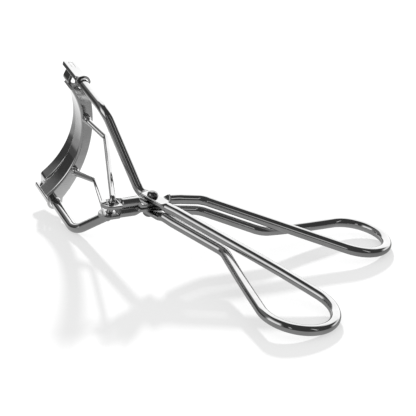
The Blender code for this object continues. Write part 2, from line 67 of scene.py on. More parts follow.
RIVET_HEAD_D = 0.0033
RIVET_HEAD_H = 0.0015
RIVET_SHANK_D = 0.0020
RIVET_SEAT_GAP = 0.00002        # between head and ear
RIVET_RIM_H = 0.0003            # straight rim under the dome
RIVET_RIM_BEVEL = (0.00015, 0.00012)    # its width and height
RIVET_DOME_TURN = 86.0

BEND_X = -0.0232
BEND_Z = 0.0009
ROD_Y = 0.0202
ROD_SLOPE = 29.1
ROD_LENGTH = 0.0294
ROD_BEND_R = 0.0050
ARM_START_X = -0.0052
ARM_BEND_R = 0.0070
ROD_FLAT_START = 0.0187
ROD_FLAT_W = 0.0040
ROD_FLAT_T = 0.0015
ROD_FLAT_SHIFT = 0.0006
ROD_END_EDGE = 0.00045

RING_A_R = 0.0105
RING_A_X = 0.0600
RING_A_RETURN = 36.0
RING_B_R = 0.0104
RING_B_X = 0.0445
RING_B_RETURN = 45.0
RING_BEND_R = 0.0060
CROSSING_LEAD = 0.0315          # the frame's legs start to cross this far before its ring's tip

LEVER_FRONT = 105.0
LEVER_HANDLE = -21.8
LEVER_KINK = (0.0082, -0.0141)
LEVER_KINK_R = 0.0060
LEVER_FLAT_W = 0.0048
LEVER_FLAT_START = 0.0124
LEVER_TIP = 0.0180
LINK_HOLE_AT = 0.0147
TIP_TURNS = (16, 24, 32, 42, 53, 65, 77, 90)    # stations round the tip, degrees from its axis

LINK_D = 0.00175
LINK_KNEE = (0.0069, -0.0067, 0.0073)   # along the rods, towards the face, from the mid-plane
LINK_FOOT = (0.0161, -0.0036, 0.0088)
LINK_TURN_IN = 0.0021
LINK_FOOT_D = 0.0026
LINK_FOOT_H = 0.0011
LINK_FOOT_SOFT = 0.0003         # rounding of the collar
LINK_FOOT_GAP = 0.00014         # between the collar and the plate, for the rocking
LINK_PIN_D = 0.0010
LINK_PIN_POINT = 0.7            # share of the pin's diameter at its very end
LINK_PIN_TAPER = 0.00015
LINK_PIN_STEP = 0.00003         # from the pin to the collar
LINK_PIN_HOLE_D = 0.0015
LINK_SIDE_Y = 0.0033
LINK_BEND_R = (0.0008, 0.0014, 0.0011)          # at the foot, the knee and the lever

JAW_CENTRE = 0.0226
PLATE_Z = 0.0164
PLATE_T = 0.0008
PLATE_INNER_R = 0.0262
PLATE_INNER_HALF = 0.0180
PLATE_OUTER_R = 0.0388
PLATE_OUTER_CREST = -0.0069
PLATE_OUTER_HALF = 0.0186
PLATE_BEND_R = 0.0008           # outside of the fold from plate to inner lip
PLATE_EDGE_R = 0.0002
PLATE_EAR_R = 0.0025
PLATE_EAR_EDGE = 0.00018
PLATE_EAR_FROM = 0.0150         # the ears lie further than this from the mid-plane
PLATE_EAR_TURNS = (165.0, -25.0)
PLATE_EAR_LAP = 0.0003          # clear of the fold
PLATE_EAR_SKIN = 0.000015       # keeps the ear's faces just inside the plate's
ROD_HOLE_D = 0.0035
PLATE_CUT = (-0.0012, 0.0010)   # reach of the hole cutters, from the plate's foot
LIP_TOP = 0.0222
LIP_T = 0.00065
LIP_OUTER_R = 0.0295
LIP_OUTER_HALF = 0.0172
LIP_BITE = 0.0001

PAD_GAP = 0.0001
PAD_TOP = 0.0235
PAD_BEAD_W = 0.0027
PAD_HALF = 0.0171
PAD_EDGE_R = 0.0002
PAD_END = 0.0006                # length over which the ends are rounded
PAD_END_SCALE = 0.80            # share of the width left at the very end
PAD_END_FLAT = 0.1              # share of that narrowing that the height takes part in

FLAT_Y = ROD_Y + ROD_FLAT_SHIFT
BLADE_Z0 = 0.0246
BLADE_Z1 = 0.0290
BLADE_CENTRE = 0.01885
BLADE_R = 0.0248
BLADE_T = 0.00115
BLADE_HALF = 0.0168
BLADE_EDGE = 0.00032
BLADE_TAB_BEND_R = 0.0009
BLADE_KNEE = 0.0008             # from the rod's inner face to the tab's bend
BLADE_CORNER_R = 0.0011
BLADE_SHOULDER = 0.0002         # height that the strip gains over the same length
BLADE_STEP = 0.00004            # from the tenon to the shoulder
TENON_Z0 = 0.0250
TENON_Z1 = 0.0283
TENON_STEP = 0.00025            # from the rod's inner face to the strip's shoulder
TENON_EDGE = 0.0001
TENON_THIN = 0.97               # share of the blade's thickness
TENON_SUNK = 0.00002            # its end stays just inside the rod's face
SLOT_GAP = 0.00009

ARC_STEP = math.radians(3.5)
STATION_GAP = 0.000004          # closer stations are merged
WIRE_SIDES = 48
LINK_SIDES = 32
HOLE_SIDES = 40
PLATE_HOLE_SIDES = 48
RIVET_SIDES = 64
ARC_STATIONS = 72
LIP_STATIONS = 68
PAD_STATIONS = 120
PAD_CROWN_STEPS = 16
BLADE_STEPS = 48
OUTLINE_STEPS = 60
EAR_STEPS = 32
RIVET_DOME_STEPS = 13
EASE_STEPS = 10                 # stations over a change of section
EDGE_TURNS = (0, 30, 60, 90)    # stations round a soft edge, in degrees
STRAIGHT = 0.001                # corners that turn by less, in radians, aren't rounded
SHARP_ANGLE = 40.0
WELD = 0.000002                 # slivers shorter than this are closed up

# ---- tool frame, from the joints ----------------------------------------------------------------

def joint(name):
    return next(j for j in frame["joints"] if j["name"] == name)


squeeze = joint("lever_squeeze")
slide = joint("jaw_slide")
slope = math.radians(ROD_SLOPE)
axis_y = -Vector(squeeze["axis"]).normalized()
rod_dir = Vector(slide["axis"]).normalized()
face_dir = axis_y.cross(rod_dir).normalized()
axis_x = -math.cos(slope) * rod_dir - math.sin(slope) * face_dir
axis_z = -math.sin(slope) * rod_dir + math.cos(slope) * face_dir
TOOL = Matrix((axis_x, axis_y, axis_z)).transposed().to_4x4()
TOOL.translation = Vector(squeeze["pos_m"])

X_AXIS = Vector((1, 0, 0))
Y_AXIS = Vector((0, 1, 0))
Z_AXIS = Vector((0, 0, 1))
ROD_DIR = Vector((-math.cos(slope), 0, -math.sin(slope)))
BEND = Vector((BEND_X, 0, BEND_Z))
RODS = TOOL @ Matrix.Translation(BEND) @ Matrix.Rotation(math.radians(-90.0 - ROD_SLOPE), 4, "Y")


# ---- node helpers -------------------------------------------------------------------------------

class Nodes:
    """Short calls for building a node tree."""

    def __init__(self, tree):
        self.tree = tree

    def add(self, kind, **values):
        node = self.tree.nodes.new(kind)
        for name, value in values.items():
            setattr(node, name, value)
        return node

    def link(self, value, socket):
        if hasattr(value, "is_output"):
            self.tree.links.new(value, socket)
        else:
            socket.default_value = value

    def math(self, operation, a, b=0.0):
        node = self.add("ShaderNodeMath", operation=operation)
        self.link(a, node.inputs[0])
        self.link(b, node.inputs[1])
        return node.outputs[0]

    def remap(self, value, low, high, to_low=0.0, to_high=1.0):
        node = self.add("ShaderNodeMapRange", interpolation_type="SMOOTHSTEP")
        self.link(value, node.inputs[0])
        for socket, number in zip(node.inputs[1:5], (low, high, to_low, to_high)):
            socket.default_value = number
        return node.outputs[0]

    def mix(self, factor, a, b):
        node = self.add("ShaderNodeMix", data_type="FLOAT")
        self.link(factor, node.inputs[0])
        self.link(a, node.inputs[2])
        self.link(b, node.inputs[3])
        return node.outputs[0]

    def scaled(self, vector, scale):
        node = self.add("ShaderNodeVectorMath", operation="MULTIPLY")
        self.link(vector, node.inputs[0])
        node.inputs[1].default_value = scale
        return node.outputs[0]

    def dot(self, a, b):
        node = self.add("ShaderNodeVectorMath", operation="DOT_PRODUCT")
        self.link(a, node.inputs[0])
        self.link(b, node.inputs[1])
        return node.outputs["Value"]

    def noise(self, vector, scale, detail, roughness):
        node = self.add("ShaderNodeTexNoise")
        self.link(vector, node.inputs["Vector"])
        node.inputs["Scale"].default_value = scale
        node.inputs["Detail"].default_value = detail
        node.inputs["Roughness"].default_value = roughness
        return node.outputs[0]

    def bump(self, height, strength, distance, normal=None):
        node = self.add("ShaderNodeBump")
        self.link(height, node.inputs["Height"])
        node.inputs["Strength"].default_value = strength
        node.inputs["Distance"].default_value = distance
        if normal:
            self.link(normal, node.inputs["Normal"])
        return node.outputs[0]

    def grey(self, value):
        node = self.add("ShaderNodeCombineColor")
        for socket in node.inputs[:3]:
            self.link(value, socket)
        return node.outputs[0]


def new_material(name):
    material = bpy.data.materials.new(name)
    material.use_nodes = True
    return material, Nodes(material.node_tree), material.node_tree.nodes["Principled BSDF"]


# ---- materials ----------------------------------------------------------------------------------

WEAR_AND_HIGHLIGHT_RADIUS = 0.00018
WEAR_AND_HIGHLIGHT_COSINES = (0.97, 0.80)     # between rounded and true normal: where wear and the painted highlight start, and where they are full
EDGE_HIGHLIGHT = 0.22             # painted highlight on the edges; shares of the metal's grey
SMUDGE_TONES = (0.93, 1.04)
STREAK_TONE = 0.02
WORN_ROUGHER = 0.06
SMUDGE_ROUGHER = 0.07
STREAK_ROUGHER = (-0.012, 0.025)
SMUDGE_SCALE = 160.0            # noise scales are per metre
PIT_SCALE = 2600.0
PIT_DEPTH = 0.00001
STREAK_DEPTH = 0.00002
GRAIN_SCALE = 5200.0
GRAIN_DEPTH = 0.00003
GRAIN_BUMP = 0.25
BLOOM_SCALE = 420.0
RUBBER_TONES = (0.010, 0.022)   # clean, and with bloom
RUBBER_ROUGHNESS = (0.34, 0.50)
# painted sheen on the rubber's edges
RUBBER_EDGE_SHEEN = 0.012


def worn_and_highlit_edges(nodes):
    """Mask of the edges, for wear and a painted highlight: where a rounded normal leaves the true
    one.
    """
    true_normal = nodes.add("ShaderNodeNewGeometry").outputs["Normal"]
    rounded = nodes.add("ShaderNodeBevel", samples=6)
    rounded.inputs["Radius"].default_value = WEAR_AND_HIGHLIGHT_RADIUS
    return nodes.remap(nodes.dot(rounded.outputs[0], true_normal), *WEAR_AND_HIGHLIGHT_COSINES)


def metal(name, grey, roughness, streak_vector, streak_scale, streak_bump, pit_bump=0.02):
    """Polished plate: drawn or brushed streaks, faint smudges, edges rougher from wear and lighter
    from a painted highlight.
    """
    material, nodes, shader = new_material(name)
    coords = nodes.add("ShaderNodeTexCoord").outputs["Object"]
    stretched = nodes.scaled(streak_vector(nodes, coords), streak_scale)
    streaks = nodes.noise(stretched, 1.0, 4.0, 0.6)
    smudges = nodes.noise(coords, SMUDGE_SCALE, 4.0, 0.65)
    pits = nodes.noise(coords, PIT_SCALE, 2.0, 0.5)
    edges = worn_and_highlit_edges(nodes)
    dark, light = SMUDGE_TONES
    tone = nodes.mix(nodes.remap(smudges, 0.35, 0.7), grey * dark, grey * light)
    # painted highlight: the edges are lighter than the rest of the metal
    tone = nodes.math("ADD", tone, nodes.math("MULTIPLY", edges, grey * EDGE_HIGHLIGHT))
    tone = nodes.math("ADD", tone, nodes.remap(streaks, 0.3, 0.7, -STREAK_TONE, STREAK_TONE))
    rough = nodes.remap(smudges, 0.45, 0.75, roughness, roughness + SMUDGE_ROUGHER)
    rough = nodes.math("ADD", rough, nodes.remap(streaks, 0.35, 0.75, *STREAK_ROUGHER))
    rough = nodes.math("ADD", rough, nodes.math("MULTIPLY", edges, WORN_ROUGHER))
    fine = nodes.bump(pits, pit_bump, PIT_DEPTH)
    nodes.link(nodes.grey(tone), shader.inputs["Base Color"])
    nodes.link(rough, shader.inputs["Roughness"])
    nodes.link(nodes.bump(streaks, streak_bump, STREAK_DEPTH, fine), shader.inputs["Normal"])
    shader.inputs["Metallic"].default_value = 1.0
    return material


def along_wire(nodes, _):
    """Place on a swept or turned piece, along and across it, so that streaks follow its bends."""
    return nodes.add("ShaderNodeAttribute", attribute_name="wire_space").outputs["Vector"]


def object_space(_, coords):
    return coords


def wire_nickel():
    """Drawn wire: long streaks along its length."""
    return metal("polished_nickel_wire", grey=0.56, roughness=0.045, streak_vector=along_wire,
                 streak_scale=(60.0, 3400.0, 3400.0), streak_bump=0.03)


def sheet_nickel():
    """Rolled sheet: smoother, with a faint brushed direction."""
    return metal("polished_nickel_sheet", grey=0.58, roughness=0.07, streak_vector=object_space,
                 streak_scale=(400.0, 400.0, 2400.0), streak_bump=0.006, pit_bump=0.004)


def rivet_steel():
    """Darker steel with turning rings."""
    return metal("turned_rivet_steel", grey=0.30, roughness=0.10, streak_vector=along_wire,
                 streak_scale=(9000.0, 300.0, 300.0), streak_bump=0.10)


def rubber():
    """Black moulded rubber: matt skin with fine grain, a little bloom, and a painted sheen on its
    edges.
    """
    material, nodes, shader = new_material("black_moulded_rubber")
    coords = nodes.add("ShaderNodeTexCoord").outputs["Object"]
    grain = nodes.noise(coords, GRAIN_SCALE, 3.0, 0.6)
    bloom = nodes.noise(coords, BLOOM_SCALE, 4.0, 0.6)
    tone = nodes.mix(nodes.remap(bloom, 0.4, 0.75), *RUBBER_TONES)
    # painted sheen: the rubber's edges are a little lighter
    tone = nodes.math("ADD", tone, nodes.math("MULTIPLY", worn_and_highlit_edges(nodes), RUBBER_EDGE_SHEEN))
    nodes.link(nodes.grey(tone), shader.inputs["Base Color"])
    nodes.link(nodes.remap(bloom, 0.3, 0.75, *RUBBER_ROUGHNESS), shader.inputs["Roughness"])
    nodes.link(nodes.bump(grain, GRAIN_BUMP, GRAIN_DEPTH), shader.inputs["Normal"])
    return material


# ---- meshes -------------------------------------------------------------------------------------

def finish_mesh(bm, name, matrix, material=None, marks=None):
    """New object whose mesh is put in place; marks are wire_space's values, one a vertex."""
    bmesh.ops.recalc_face_normals(bm, faces=bm.faces)
    mesh = bpy.data.meshes.new(name)
    bm.to_mesh(mesh)
    bm.free()
    if marks:
        attribute = mesh.attributes.new("wire_space", "FLOAT_VECTOR", "POINT")
        attribute.data.foreach_set("vector", [x for mark in marks for x in mark])
    mesh.transform(matrix)
    mesh.shade_smooth()
    mesh.set_sharp_from_angle(angle=math.radians(SHARP_ANGLE))
    obj = bpy.data.objects.new(name, mesh)
    bpy.context.scene.collection.objects.link(obj)
    if material:
        mesh.materials.append(material)
    return obj


def combine(obj, other, operation):
    """Boolean of two solids, kept in obj; the other one is removed."""
    modifier = obj.modifiers.new("boolean", "BOOLEAN")
    modifier.operation = operation
    modifier.solver = "EXACT"
    modifier.object = other
    apply_modifiers(obj)
    bpy.data.objects.remove(other, do_unlink=True)


def apply_modifiers(obj):
    bpy.context.view_layer.update()
    depsgraph = bpy.context.evaluated_depsgraph_get()
    mesh = bpy.data.meshes.new_from_object(obj.evaluated_get(depsgraph))
    obj.modifiers.clear()
    obj.data = mesh


def even_shading(obj):
    """Weld the slivers left by cuts; large flat faces keep flat shading around a hole."""
    bm = bmesh.new()
    bm.from_mesh(obj.data)
    bmesh.ops.remove_doubles(bm, verts=bm.verts, dist=WELD)
    bmesh.ops.dissolve_degenerate(bm, edges=bm.edges, dist=WELD)
    bm.to_mesh(obj.data)
    bm.free()
    obj.data.set_sharp_from_angle(angle=math.radians(SHARP_ANGLE))
    modifier = obj.modifiers.new("weighted_normal", "WEIGHTED_NORMAL")
    modifier.keep_sharp = True
    apply_modifiers(obj)


# ---- wires --------------------------------------------------------------------------------------

def spine(corners):
    """Points and tangents along corners (point, bend radius), and the length to each corner."""
    points = [Vector(point) for point, _ in corners]
    nodes = [(points[0], (points[1] - points[0]).normalized())]
    middles = [0]
    for before, here, after, (_, radius) in zip(points, points[1:], points[2:], corners[1:]):
        into = (here - before).normalized()
        out = (after - here).normalized()
        turn = into.angle(out)
        if radius == 0.0 or turn < STRAIGHT:
            nodes.append((here, (into + out).normalized()))
            middles.append(len(nodes) - 1)
            continue
        axis = into.cross(out).normalized()
        start = here - into * radius * math.tan(turn / 2)
        centre = start + axis.cross(into) * radius
        steps = 2 * max(1, math.ceil(turn / ARC_STEP / 2))      # even: one is the bend's middle
        for step in range(steps + 1):
            swing = Matrix.Rotation(turn * step / steps, 3, axis)
            nodes.append((centre + swing @ (start - centre), swing @ into))
        middles.append(len(nodes) - 1 - steps // 2)
    nodes.append((points[-1], (points[-1] - points[-2]).normalized()))
    middles.append(len(nodes) - 1)
    lengths = [0.0]
    for (here, _), (after, _) in zip(nodes, nodes[1:]):
        lengths.append(lengths[-1] + (after - here).length)
    return nodes, lengths, [lengths[i] for i in middles]


def ease(part):
    return part * part * (3 - 2 * part)


def blend_keys(keys, length):
    """Section at a length: (offset along the flat's normal, width, thickness, flatness, edge)."""
    for (l0, *a), (l1, *b) in zip(keys, keys[1:]):
        if length <= l1:
            part = ease(min(1.0, max(0.0, (length - l0) / (l1 - l0))))
            return [x + (y - x) * part for x, y in zip(a, b)]
    return keys[-1][1:]


def section(width, thickness, flatness, edge, sides):
    """Outline that is an ellipse when flatness is 0 and a rounded rectangle when it is 1."""
    outline = []
    quarter = sides // 4
    edge = min(edge, width / 2, thickness / 2)
    for i in range(sides):
        turn = 2 * math.pi * i / sides
        step = min(i % (2 * quarter), 2 * quarter - i % (2 * quarter))
        corner = math.pi / 2 * min(1.0, max(0.0, (step - 1) / (quarter - 2)))
        side = 0.0 if i % (2 * quarter) == quarter else math.copysign(1.0, math.cos(turn))
        up = 0.0 if i % (2 * quarter) == 0 else math.copysign(1.0, math.sin(turn))
        flat_x = side * (width / 2 - edge + edge * math.cos(corner))
        flat_y = up * (thickness / 2 - edge + edge * math.sin(corner))
        outline.append((width / 2 * math.cos(turn) * (1 - flatness) + flat_x * flatness,
                        thickness / 2 * math.sin(turn) * (1 - flatness) + flat_y * flatness))
    return outline


def stations_of(lengths, keys):
    """Path stations, key stations and extra ones where the section changes."""
    stops = set(lengths)
    for before, after in zip(keys, keys[1:]):
        stops.add(after[0])
        if before[1:] != after[1:]:
            for step in range(EASE_STEPS):
                stops.add(before[0] + (after[0] - before[0]) * step / EASE_STEPS)
    kept = []
    for stop in sorted(stops):
        if 0.0 <= stop <= lengths[-1] and (not kept or stop - kept[-1] > STATION_GAP):
            kept.append(stop)
    return kept


def wire(name, corners, make_keys, reference, sides, matrix, material):
    """Sweep keyed sections along a spine; the flats' normal follows the reference direction."""
    nodes, lengths, marks = spine(corners)
    keys = make_keys(marks)
    bm = bmesh.new()
    rings = []
    places = []
    i = 0
    for length in stations_of(lengths, keys):
        while i < len(lengths) - 2 and length > lengths[i + 1]:
            i += 1
        part = (length - lengths[i]) / (lengths[i + 1] - lengths[i])
        point = nodes[i][0].lerp(nodes[i + 1][0], part)
        tangent = nodes[i][1].lerp(nodes[i + 1][1], part).normalized()
        thick = (reference - tangent * reference.dot(tangent)).normalized()
        wide = thick.cross(tangent)
        offset, width, thickness, flatness, edge = blend_keys(keys, length)
        outline = section(width, thickness, flatness, edge, sides)
        rings.append([bm.verts.new(point + wide * x + thick * (y + offset)) for x, y in outline])
        places += [(length, x, y) for x, y in outline]
    for ring, after in zip(rings, rings[1:]):
        for k in range(sides):
            bm.faces.new((ring[k], ring[k - 1], after[k - 1], after[k]))
    bm.faces.new(rings[0])
    bm.faces.new(reversed(rings[-1]))
    return finish_mesh(bm, name, matrix, material, places)


def round_key(length, offset, diameter=WIRE_D):
    return (length, offset, diameter, diameter, 0.0, FLAT_EDGE)


def flat_key(length, offset, width, thickness, edge=FLAT_EDGE):
    return (length, offset, width, thickness, 1.0, edge)


def ear_keys(pivot, offset, round_offset, before=EAR_HALF, after=EAR_HALF):
    return [round_key(pivot - before - SHOULDER, round_offset),
            flat_key(pivot - before, offset, EAR_W, EAR_T),
            flat_key(pivot + after, offset, EAR_W, EAR_T),
            round_key(pivot + after + SHOULDER, round_offset)]


def crossing_keys(start, end):
    """Round wire that eases from the upper leg's height to the lower leg's."""
    return [round_key(start, LEG_SPREAD_Y), round_key(end, -LEG_SPREAD_Y)]


def spread_key(pivot, side):
    """Where the legs have spread to their full distance behind the pivot."""
    return round_key(pivot + side * (EAR_HALF + SHOULDER + SPREAD), side * LEG_SPREAD_Y)


def mirrored(corners):
    return [(Vector((p.x, -p.y, p.z)), r) for p, r in reversed(corners)]


def ring_corners(start, along, outward, ring_x, radius, slope_back):
    """Corners of a finger ring that leaves a straight leg, rounds the tip and slopes back."""
    slope_angle = math.radians(slope_back)
    centre = start + along * ring_x + outward * radius
    half = (math.pi + slope_angle) / 4
    reach = radius / math.cos(half)
    tips = [centre + reach * (along * math.sin(a) - outward * math.cos(a))
            for a in (half, 3 * half)]
    rise = radius * (1 + math.cos(slope_angle))
    top_x = ring_x - radius * math.sin(slope_angle)
    back = start + along * (top_x - rise / math.tan(slope_angle))
    return [(tips[0], radius), (tips[1], radius), (back, RING_BEND_R)]


def direction(degrees):
    """Unit vector in the tool's mid-plane."""
    return Vector((math.cos(math.radians(degrees)), 0, math.sin(math.radians(degrees))))


def rods_to_tool(along, face, y):
    """Point given along the rods, towards the face and from the mid-plane."""
    towards_face = Vector((-math.sin(slope), 0, math.cos(slope)))
    return BEND + ROD_DIR * along + towards_face * face + Y_AXIS * y


def y_cylinder(x, z, diameter, matrix):
    profile = [(0.0, -CUT_REACH), (diameter / 2, -CUT_REACH), (diameter / 2, CUT_REACH),
               (0.0, CUT_REACH)]
    return turned("cutter", profile, HOLE_SIDES, matrix @ Matrix.Translation((x, 0, z)))


def box(x0, x1, y0, y1, z0, z1, matrix):
    bm = bmesh.new()
    bmesh.ops.create_cube(bm, size=1.0)
    bmesh.ops.scale(bm, verts=bm.verts, vec=(x1 - x0, y1 - y0, z1 - z0))
    bmesh.ops.translate(bm, verts=bm.verts, vec=((x0 + x1) / 2, (y0 + y1) / 2, (z0 + z1) / 2))
    return finish_mesh(bm, "cutter", matrix)


def rod_end_keys(end, inward, side):
    """Pressed flat with a rounded end, from the rod's end inwards."""
    out = side * (LEG_Y + ROD_FLAT_SHIFT)
    flat = ROD_LENGTH - ROD_FLAT_START
    keys = []
    for turn in EDGE_TURNS:
        inset = ROD_END_EDGE * (1 - math.sin(math.radians(turn)))
        depth = ROD_END_EDGE * (1 - math.cos(math.radians(turn)))
        keys.append(flat_key(end + inward * depth, out, ROD_FLAT_W - 2 * inset,
                             ROD_FLAT_T - inset, ROD_END_EDGE))
    keys.append(flat_key(end + inward * flat, out, ROD_FLAT_W, ROD_FLAT_T, ROD_END_EDGE))
    keys.append(round_key(end + inward * (flat + SHOULDER), side * LEG_Y))
    return keys if inward > 0 else list(reversed(keys))


def frame_keys(marks):
    rod, _, _, pivot, tip, _, back, pivot_b, _, _, rod_b = marks
    keys = rod_end_keys(rod, 1, 1) + ear_keys(pivot, FRAME_EAR_Y, LEG_Y, before=EAR_FRONT)
    keys.append(spread_key(pivot, 1))
    keys += crossing_keys(tip - CROSSING_LEAD, back - RING_BEND_R)
    keys.append(spread_key(pivot_b, -1))
    keys += ear_keys(pivot_b, -FRAME_EAR_Y, -LEG_Y, after=EAR_FRONT)
    keys += rod_end_keys(rod_b, -1, -1)
    return keys


def frame_piece(material):
    reach = Y_AXIS * (ROD_Y - LEG_Y)
    half = [(BEND + ROD_DIR * ROD_LENGTH + reach, 0.0),
            (BEND + reach, ROD_BEND_R),
            (Vector((ARM_START_X, 0, 0)), ARM_BEND_R),
            (Vector(), 0.0)]
    ring = ring_corners(Vector(), X_AXIS, Z_AXIS, RING_A_X, RING_A_R, RING_A_RETURN)
    obj = wire("bent_frame_wire", half + ring + mirrored(half), frame_keys, Y_AXIS, WIRE_SIDES,
               TOOL, material)
    combine(obj, y_cylinder(0, 0, PIVOT_HOLE_D, TOOL), "DIFFERENCE")
    half_t = BLADE_T / 2 + SLOT_GAP
    for y in (FLAT_Y, -FLAT_Y):
        slot = box(-half_t, half_t, y - ROD_FLAT_T, y + ROD_FLAT_T,
                   TENON_Z0 - SLOT_GAP, TENON_Z1 + SLOT_GAP, RODS)
        combine(obj, slot, "DIFFERENCE")
    even_shading(obj)
    return obj


def tip_keys(end, inward, offset):
    """Front flat with its rounded tip, from the wire's end inwards."""
    keys = []
    radius = LEVER_FLAT_W / 2
    for turn in TIP_TURNS:
        depth = radius * (math.cos(math.radians(TIP_TURNS[0])) - math.cos(math.radians(turn)))
        width = LEVER_FLAT_W * math.sin(math.radians(turn))
        keys.append(flat_key(end + inward * depth, offset, width, EAR_T))
    flat = LEVER_TIP - LEVER_FLAT_START
    keys.append(flat_key(end + inward * flat, offset, LEVER_FLAT_W, EAR_T))
    keys.append(round_key(end + inward * (flat + SHOULDER), offset))
    return keys if inward > 0 else list(reversed(keys))


def lever_keys(marks):
    tip, pivot, _, tip_a, _, back, _, pivot_b, tip_end = marks
    keys = tip_keys(tip, 1, LEG_Y) + ear_keys(pivot, LEVER_EAR_Y, LEG_Y)
    keys.append(spread_key(pivot, 1))
    keys += crossing_keys(tip_a, back)
    keys.append(spread_key(pivot_b, -1))
    keys += ear_keys(pivot_b, -LEVER_EAR_Y, -LEG_Y) + tip_keys(tip_end, -1, -LEG_Y)
    return keys


def lever_piece(material):
    kink = Vector((LEVER_KINK[0], 0, LEVER_KINK[1]))
    half = [(direction(LEVER_FRONT) * LEVER_TIP, 0.0), (Vector(), 0.0), (kink, LEVER_KINK_R)]
    ring = ring_corners(kink, direction(LEVER_HANDLE), direction(LEVER_HANDLE - 90.0),
                        RING_B_X, RING_B_R, RING_B_RETURN)
    obj = wire("bent_lever_wire", half + ring + list(reversed(half)), lever_keys, Y_AXIS,
               WIRE_SIDES, TOOL, material)
    hole = direction(LEVER_FRONT) * LINK_HOLE_AT
    combine(obj, y_cylinder(0, 0, PIVOT_HOLE_D, TOOL), "DIFFERENCE")
    combine(obj, y_cylinder(hole.x, hole.z, LINK_HOLE_D, TOOL), "DIFFERENCE")
    even_shading(obj)
    return obj


def foot_keys(end, inward):
    """Pin, upset collar and shank of one foot, from the wire's end inwards."""
    pin = PLATE_T + LINK_FOOT_GAP
    top = pin + LINK_FOOT_H
    soft = LINK_FOOT_SOFT
    sizes = ((0.0, LINK_PIN_D * LINK_PIN_POINT), (LINK_PIN_TAPER, LINK_PIN_D),
             (pin - LINK_PIN_STEP, LINK_PIN_D), (pin, LINK_FOOT_D - soft),
             (pin + soft / 2, LINK_FOOT_D), (top - soft, LINK_FOOT_D),
             (top, LINK_D + soft), (top + soft, LINK_D))
    keys = [round_key(end + inward * depth, 0.0, size) for depth, size in sizes]
    return keys if inward > 0 else list(reversed(keys))


def link_keys(marks):
    return foot_keys(0.0, 1) + foot_keys(marks[-1], -1)


def link_piece(material):
    hole = direction(LEVER_FRONT) * LINK_HOLE_AT
    foot_bend, knee_bend, side_bend = LINK_BEND_R
    half = [(rods_to_tool(PLATE_Z + PLATE_T, LINK_FOOT[1], LINK_FOOT[2]), 0.0),
            (rods_to_tool(LINK_FOOT[0] - LINK_TURN_IN, LINK_FOOT[1], LINK_FOOT[2]), foot_bend),
            (rods_to_tool(*LINK_KNEE), knee_bend),
            (hole + Y_AXIS * LINK_SIDE_Y, side_bend)]
    across_link = direction(LEVER_FRONT - 60.0)     # never along any part of the wire
    return wire("bent_link_wire", half + mirrored(half), link_keys, across_link, LINK_SIDES,
                TOOL, material)


# ---- jaws, pad and rivet ------------------------------------------------------------------------

def arc_points(radius, half, centre, steps):
    """Arc of a given half width, bulging towards the face."""
    reach = math.asin(half / radius)
    turns = [reach * (2 * step / steps - 1) for step in range(steps + 1)]
    return [(centre - radius * math.cos(t), radius * math.sin(t)) for t in turns]


def fillet(x, y, radius, start, end, steps=5):
    """Points of a rounded profile corner about (x, y)."""
    turns = [math.radians(start + (end - start) * i / steps) for i in range(steps + 1)]
    return [(x + radius * math.cos(t), y + radius * math.sin(t)) for t in turns]


def skin_rings(bm, rings):
    """Faces between equal rings of vertices, and the two ends."""
    count = len(rings[0])
    for ring, after in zip(rings, rings[1:]):
        for k in range(count):
            bm.faces.new((ring[k - 1], ring[k], after[k], after[k - 1]))
    bm.faces.new(reversed(rings[0]))
    bm.faces.new(rings[-1])


def sweep_arc(name, profile_at, reach, matrix, material=None, steps=ARC_STATIONS, square=False):
    """Sweep a closed profile (radius, z), given for each turn, about the jaw's centre.

    The ends are radial, or, when square, cut across at the inner radius's half width.
    """
    bm = bmesh.new()
    rings = []
    marks = []
    for step in range(steps + 1):
        turn = reach * (2 * step / steps - 1)
        profile = profile_at(turn)
        ring = []
        for r, z in profile:
            here = math.asin(PLATE_INNER_R * math.sin(turn) / r) if square else turn
            ring.append(bm.verts.new((JAW_CENTRE - r * math.cos(here), r * math.sin(here), z)))
        rings.append(ring)
        marks += [(turn * PLATE_INNER_R, r, z) for r, z in profile]
    skin_rings(bm, rings)
    return finish_mesh(bm, name, matrix, material, marks)


def rounded_prism(name, outline, z0, z1, edge, matrix):
    """Outline (turning anticlockwise) extruded from z0 to z1 with rounded edges."""
    count = len(outline)
    inward = []
    for i in range(count):
        before = Vector(outline[i - 1])
        after = Vector(outline[(i + 1) % count])
        along = (after - before).normalized()
        inward.append(Vector((-along.y, along.x)))
    layers = []
    for z, sign in ((z0, 1), (z1, -1)):
        for turn in EDGE_TURNS[::sign]:
            inset = edge * (1 - math.sin(math.radians(turn)))
            layers.append((inset, z + sign * edge * (1 - math.cos(math.radians(turn)))))
    bm = bmesh.new()
    rings = []
    for inset, z in layers:
        ring = []
        for (x, y), n in zip(outline, inward):
            ring.append(bm.verts.new((x + n.x * inset, y + n.y * inset, z)))
        rings.append(ring)
    skin_rings(bm, rings)
    return finish_mesh(bm, name, matrix)


def plate_reach(turn):
    """Radius, about the jaw's centre, of the plate's outer edge."""
    offset = PLATE_OUTER_CREST + PLATE_OUTER_R - JAW_CENTRE
    along = offset * math.cos(turn)
    return -along + math.sqrt(along * along - offset * offset + PLATE_OUTER_R ** 2)


def plate_profile(turn):
    """Plate, rounded fold and inner lip."""
    top = PLATE_Z + PLATE_T
    tip_r = LIP_T / 2
    small = PLATE_EDGE_R
    bend = PLATE_BEND_R
    outer = plate_reach(turn)
    profile = fillet(PLATE_INNER_R + tip_r, LIP_TOP - tip_r, tip_r, 0, 180, 8)
    profile += fillet(PLATE_INNER_R + bend, PLATE_Z + bend, bend, 180, 270, 8)
    profile += fillet(outer - small, PLATE_Z + small, small, -90, 0)
    profile += fillet(outer - small, top - small, small, 0, 90)
    profile += fillet(PLATE_INNER_R + LIP_T + small, top + small, small, 270, 180)
    return profile


